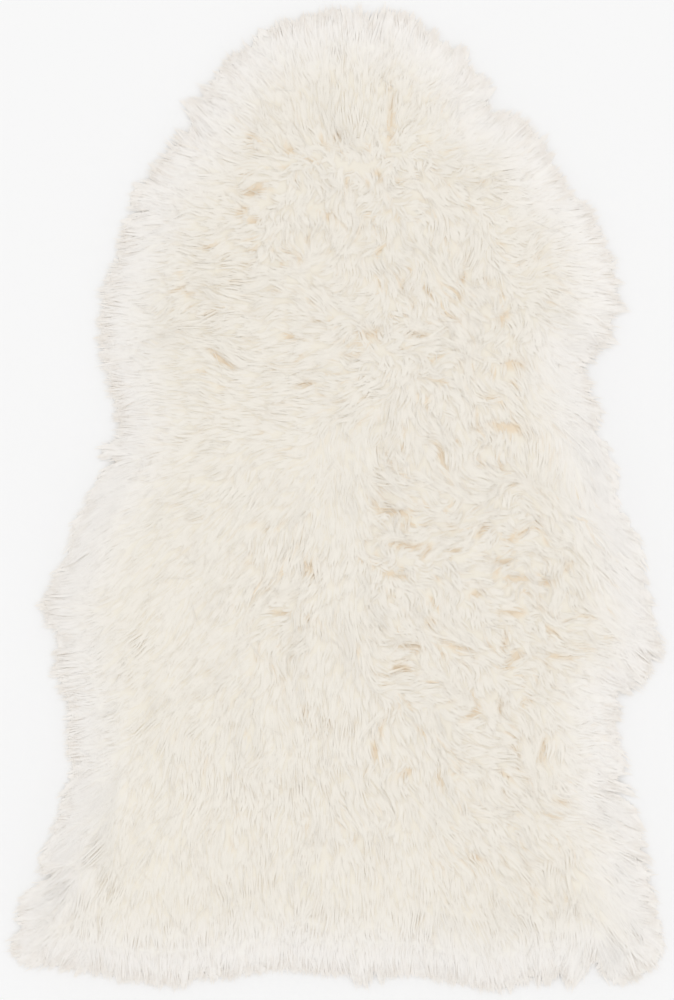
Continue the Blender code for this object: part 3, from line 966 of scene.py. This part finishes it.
def suede_material():
    """The hide's flesh side, tanned and buffed to suede: a short velvety nap with cloudy
    patches where the buffing went another way."""
    material, tree, shader = blank_material("buffed_sheep_suede")
    where = add(tree, "ShaderNodeTexCoord")
    clouds, nap = (
        add(tree, "ShaderNodeTexNoise", {"Vector": (where, "Object")}, Scale=1 / size, Detail=3)
        for size in (CLOUD_SIZE, NAP_SIZE)
    )
    mixed = add(tree, "ShaderNodeMix", {"Factor": (clouds, "Fac")}, data_type="RGBA")
    mixed.inputs[MIX_A].default_value = colour(SUEDE_DARK)
    mixed.inputs[MIX_B].default_value = colour(SUEDE_LIGHT)
    bump = add(tree, "ShaderNodeBump", {"Height": (nap, "Fac")}, Strength=0.4, Distance=0.3 * MM)
    tree.links.new(mixed.outputs[MIXED], shader.inputs["Base Color"])
    tree.links.new(bump.outputs["Normal"], shader.inputs["Normal"])
    shader.inputs["Roughness"].default_value = 0.85
    shader.inputs["Sheen Weight"].default_value = 0.3
    shader.inputs["Specular IOR Level"].default_value = 0.2
    return material


# ---------------------------------------------------------------- the rug

CURLED = 0.42  # locks with more curl than this have a ring more to bend with
ANY_CURL, INNERMOST = 2, 400  # more curl than any wool has, and further inside than any place
BODY = Lock(
    pitch=10, low=50, high=INNERMOST, curled=CURLED, most=ANY_CURL, length=56, strands=8,
    width=2.6, flatness=0.17, spread=11, left=0.5, uneven=0.09, layer=0.25, rooted=3.5,
    rings=4, parts=True, thin=None,
)  # fmt: skip
COMBED = BODY._replace(
    curled=0, most=CURLED, width=2.5, flatness=0.15, uneven=0.08, layer=0.2, rooted=3.2, rings=3
)
RIM = COMBED._replace(
    pitch=7, low=27, high=60, most=ANY_CURL, length=78, width=2.4, spread=9, left=0.4
)
EVEN = BODY._replace(pitch=8.8, curled=0, length=50, spread=10, uneven=0.1, rooted=3, thin=0.95)
SHORT = BODY._replace(
    pitch=6.5, low=18, curled=0, length=34, strands=5, spread=9, left=0.6, uneven=0.12,
    layer=0.3, rooted=2, rings=3, parts=False, thin=0.85,
)  # fmt: skip
LAST = SHORT._replace(pitch=5.5, low=7, length=24, spread=8, uneven=0.2, rooted=0.8, thin=0.6)
STRAY = BODY._replace(
    pitch=15, low=27, curled=0, length=44, strands=1, width=1.2, flatness=0.5, spread=4,
    uneven=0.4, layer=-1.0, rings=3, parts=False,
)  # fmt: skip
LOCKS = dict(
    body=BODY, combed=COMBED, rim=RIM, even=EVEN, short=SHORT, last=LAST, stray=STRAY
)
MOST_TRIANGLES = 195_000  # in one piece


def wool_pieces(wool):
    """The strands of every kind of lock, each kind in as few pieces as may be. The later
    kinds fill up where the cover of the earlier ones is thin."""
    made, paths = [], []
    for name, kind in LOCKS.items():
        strands = wool_strands(kind, cover_chart(paths) if kind.thin else None)
        paths.append(strands["path"])
        order = np.argsort(strands["path"][:, 0, 1])
        triangles = len(order) * (2 * SIDES * kind.rings - 2)
        shares = math.ceil(triangles / MOST_TRIANGLES)
        for number, pick in enumerate(np.array_split(order, shares), 1):
            chosen = {key: values[pick] for key, values in strands.items()}
            piece = strand_piece(f"wool_{name}_{number}", chosen, kind.rings)
            piece.data.materials.append(wool)
            made.append(piece)
    return made


wool = wool_material()
bed = underwool()
bed.data.materials.append(underwool_material())
hide, hide_size, hide_area = hide_sheet()
hide.data.materials.append(suede_material())
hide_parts("sheepskin")
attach(hide, "root")
for piece in [bed, *wool_pieces(wool)]:
    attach(piece, "root")

# ---------------------------------------------------------------- the studio

PAPER = "#FCFCFC"
PAPER_REACH = 8  # how far the floor goes each way
KEY_SIDE, KEY_SOFTNESS, KEY_POWER = (0.5, 0.35, 1), 45, 0.2
DOME_POWER = 0.911
PIXEL = 0.9146 * MM  # what one pixel of the photograph spans on the rug
FRAME_HEIGHT = 1000 * PIXEL
FRAME_MIDDLE = (0.5 * PIXEL, -2 * PIXEL)  # where the photograph's middle lies on the rug
TIP_HEIGHT = 4 * MM  # where the rim's tips lie, which set the framing
LENS, SENSOR = 100, 36
WOOL_BOUNCES = 10  # pale wool hands the light on many times


def floor_material():
    """Seamless studio paper: smooth, matte and nearly white."""
    material, _, shader = blank_material("seamless_paper")
    shader.inputs["Base Color"].default_value = colour(PAPER)
    shader.inputs["Roughness"].default_value = 0.9
    shader.inputs["Specular IOR Level"].default_value = 0.1
    return material


def studio_floor():
    bm = bmesh.new()
    bmesh.ops.create_grid(bm, x_segments=1, y_segments=1, size=PAPER_REACH)
    mesh = bpy.data.meshes.new("floor")
    bm.to_mesh(mesh)
    bm.free()
    mesh.materials.append(floor_material())
    floor = placed(bpy.data.objects.new("floor", mesh))


def key_light():
    """A light as even as the sun's from one side, spread over KEY_SOFTNESS degrees."""
    lamp = bpy.data.lights.new("key", "SUN")
    lamp.angle = math.radians(KEY_SOFTNESS)
    lamp.energy = KEY_POWER
    light = placed(bpy.data.objects.new("key", lamp))
    light.rotation_euler = Vector(KEY_SIDE).to_track_quat("Z", "Y").to_euler()


def overhead_camera():
    """Straight above the rug, with the photograph's framing."""
    data = bpy.data.cameras.new("camera")
    data.lens, data.sensor_width = LENS, SENSOR
    camera = placed(bpy.data.objects.new("camera", data))
    camera.location = (*FRAME_MIDDLE, FRAME_HEIGHT * LENS / SENSOR + TIP_HEIGHT)
    bpy.context.scene.camera = camera


def dome():
    """Even white light from all round."""
    world = bpy.data.worlds.new("studio")
    world.use_nodes = True
    background = world.node_tree.nodes["Background"]
    background.inputs["Color"].default_value = (1, 1, 1, 1)
    background.inputs["Strength"].default_value = DOME_POWER
    bpy.context.scene.world = world


studio_floor()
key_light()
overhead_camera()
dome()
bpy.context.scene.view_settings.view_transform = "Standard"
bpy.context.scene.cycles.diffuse_bounces = WOOL_BOUNCES
